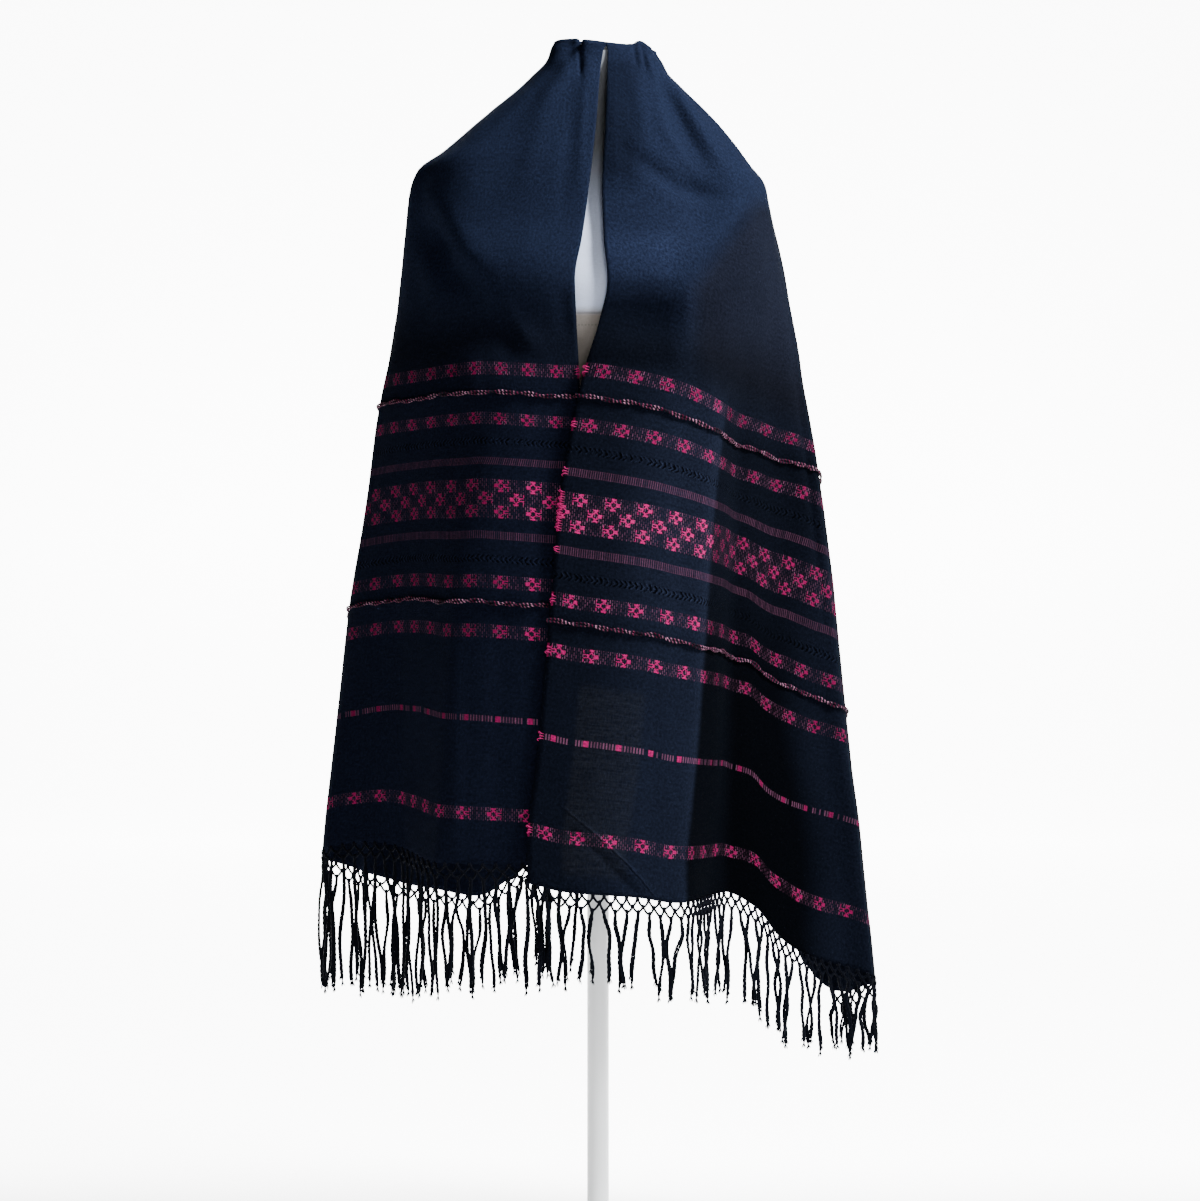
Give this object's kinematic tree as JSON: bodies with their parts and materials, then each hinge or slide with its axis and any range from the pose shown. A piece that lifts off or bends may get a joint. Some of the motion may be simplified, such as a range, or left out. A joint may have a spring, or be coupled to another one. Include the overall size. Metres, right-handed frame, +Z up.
{
  "type": "rebozo shawl on limbless dress form",
  "caption": "Long woven rebozo with knotted fringed ends, worn as a collar round the neck of a plain linen dress form on a pole and round base.",
  "frame": {"origin": "centre of the base's underside, on the floor, under the pole's axis", "axes": "+Z up along the pole; the front of the form faces -Y; +X is to the right of someone who faces the form"},
  "size_m": [0.6484, 0.38, 1.401],
  "materials": {
    "woven_cotton": "matt, slightly napped, near-black indigo",
    "cotton_yarn": "matt twisted yarn",
    "linen": "matt off-white linen",
    "white_paint": "satin white paint"
  },
  "bodies": {
    "root": {"left_front": "woven_cotton", "right_front": "woven_cotton", "back": "woven_cotton", "left_fringe": "cotton_yarn", "right_fringe": "cotton_yarn", "form_torso": "linen", "form_neck_cap": "linen", "form_flange": "white_paint", "form_pole": "white_paint", "form_hub": "white_paint", "form_base": "white_paint"}
  },
  "joints": []
}
